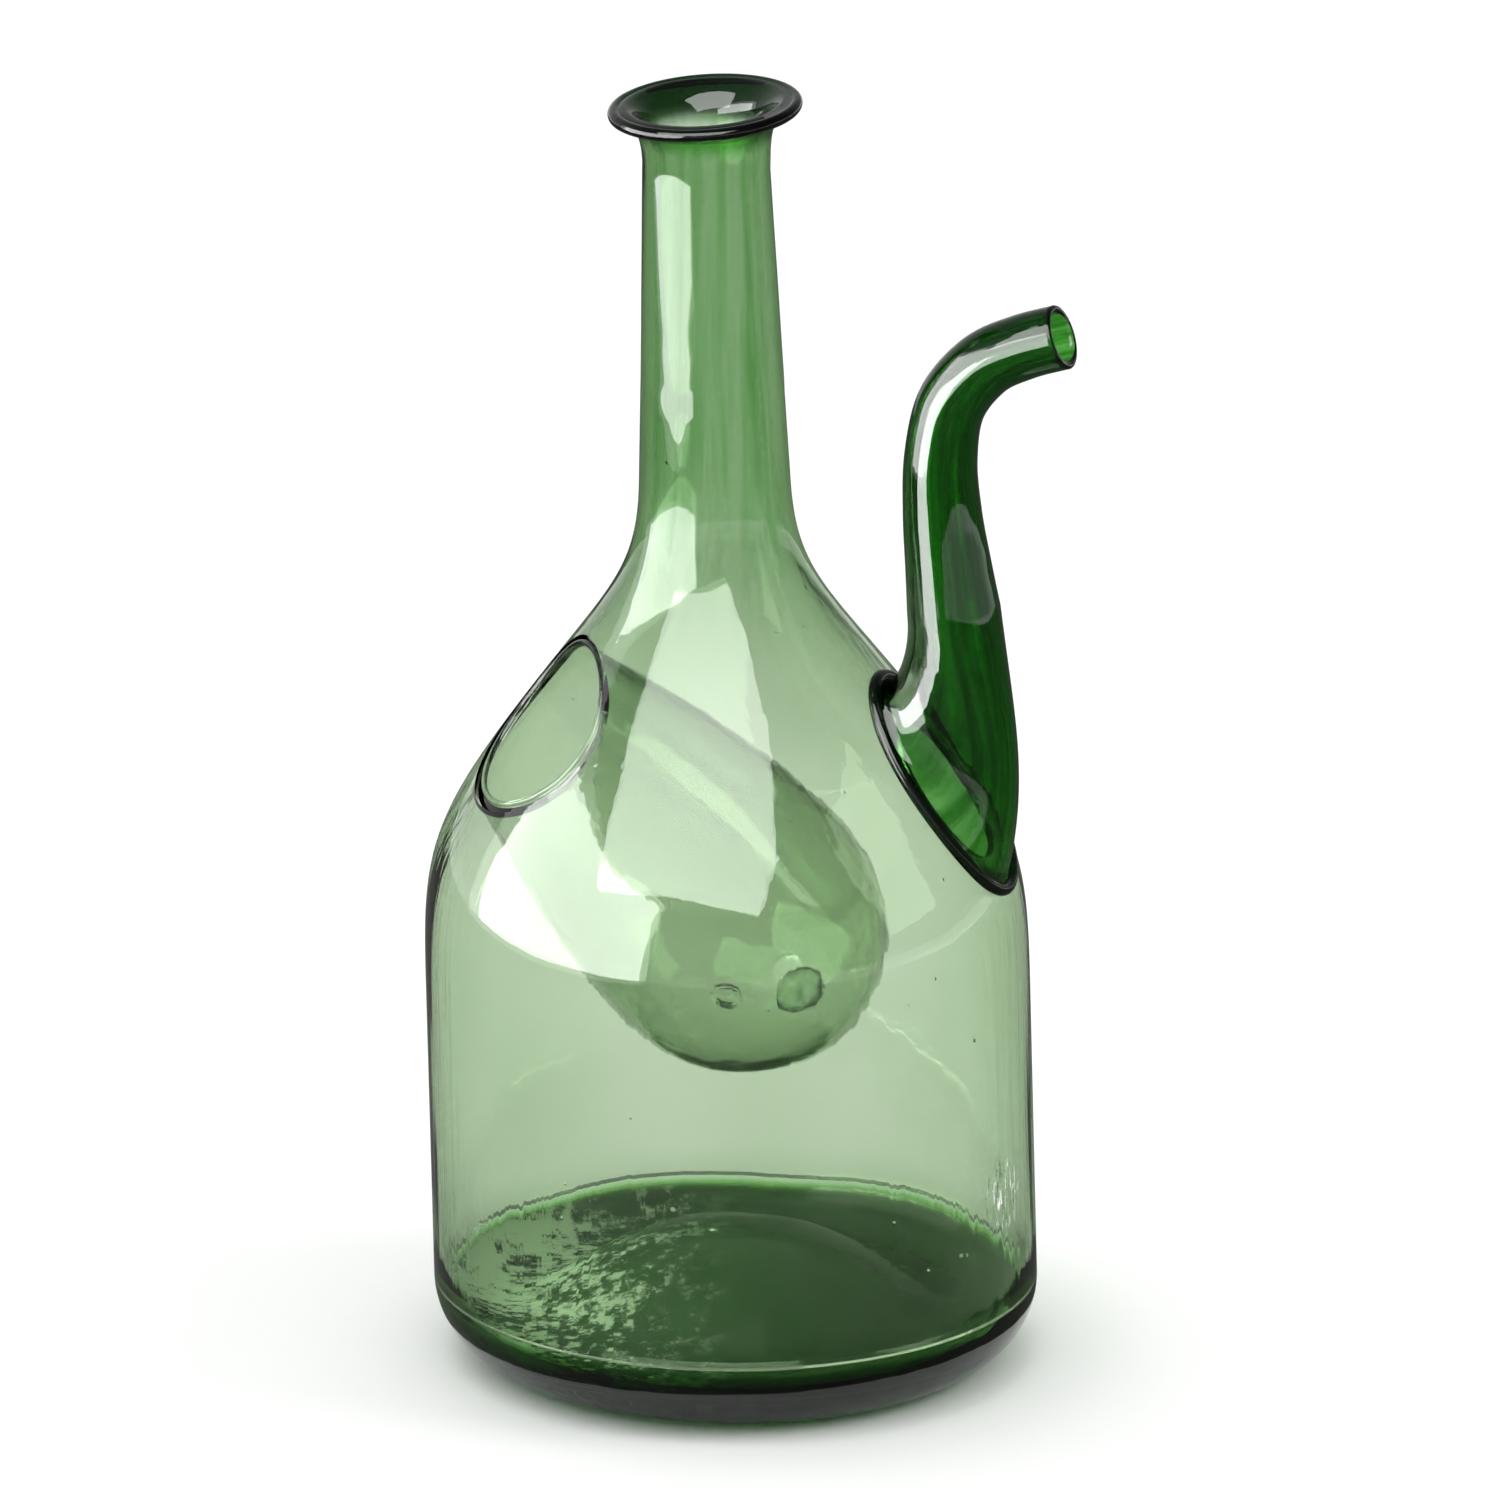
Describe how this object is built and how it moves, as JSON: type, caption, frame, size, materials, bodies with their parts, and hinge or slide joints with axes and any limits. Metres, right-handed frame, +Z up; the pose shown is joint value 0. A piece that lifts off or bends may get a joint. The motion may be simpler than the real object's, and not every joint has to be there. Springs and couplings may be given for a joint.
{
  "type": "wine decanter",
  "caption": "Hand-blown green glass wine decanter with a tall flared neck, a curved pouring spout and an ice pocket set into its shoulder.",
  "frame": {"origin": "centre of the footprint box on the resting plane, 4.2 mm from the body's own axis towards the spout", "axes": "+Z up, +X towards the side on which the spout points outward"},
  "size_m": [0.1555, 0.1414, 0.3065],
  "materials": {
    "base_glass": "thick deep green glass, polished, with lime scale and grit inside",
    "body_glass": "thin pale grey-green blown glass, glossy, slightly rippled",
    "neck_glass": "green drawn glass, glossy, with fine vertical draw lines",
    "rim_glass": "near-black green fire-polished glass",
    "pocket_glass": "thin pale green blown glass, glossy",
    "spout_glass": "deep green glass, glossy, with drawn streaks along the tube"
  },
  "bodies": {
    "root": {"base": "base_glass", "body": "body_glass", "neck": "neck_glass", "lip": "neck_glass", "lip_rim": "rim_glass", "ice_pocket": "pocket_glass", "pocket_rim": "pocket_glass", "pocket_pontil": "pocket_glass", "spout_foot": "spout_glass", "spout_foot_edge": "rim_glass", "spout_tube": "spout_glass", "spout_rim": "rim_glass"}
  },
  "joints": []
}
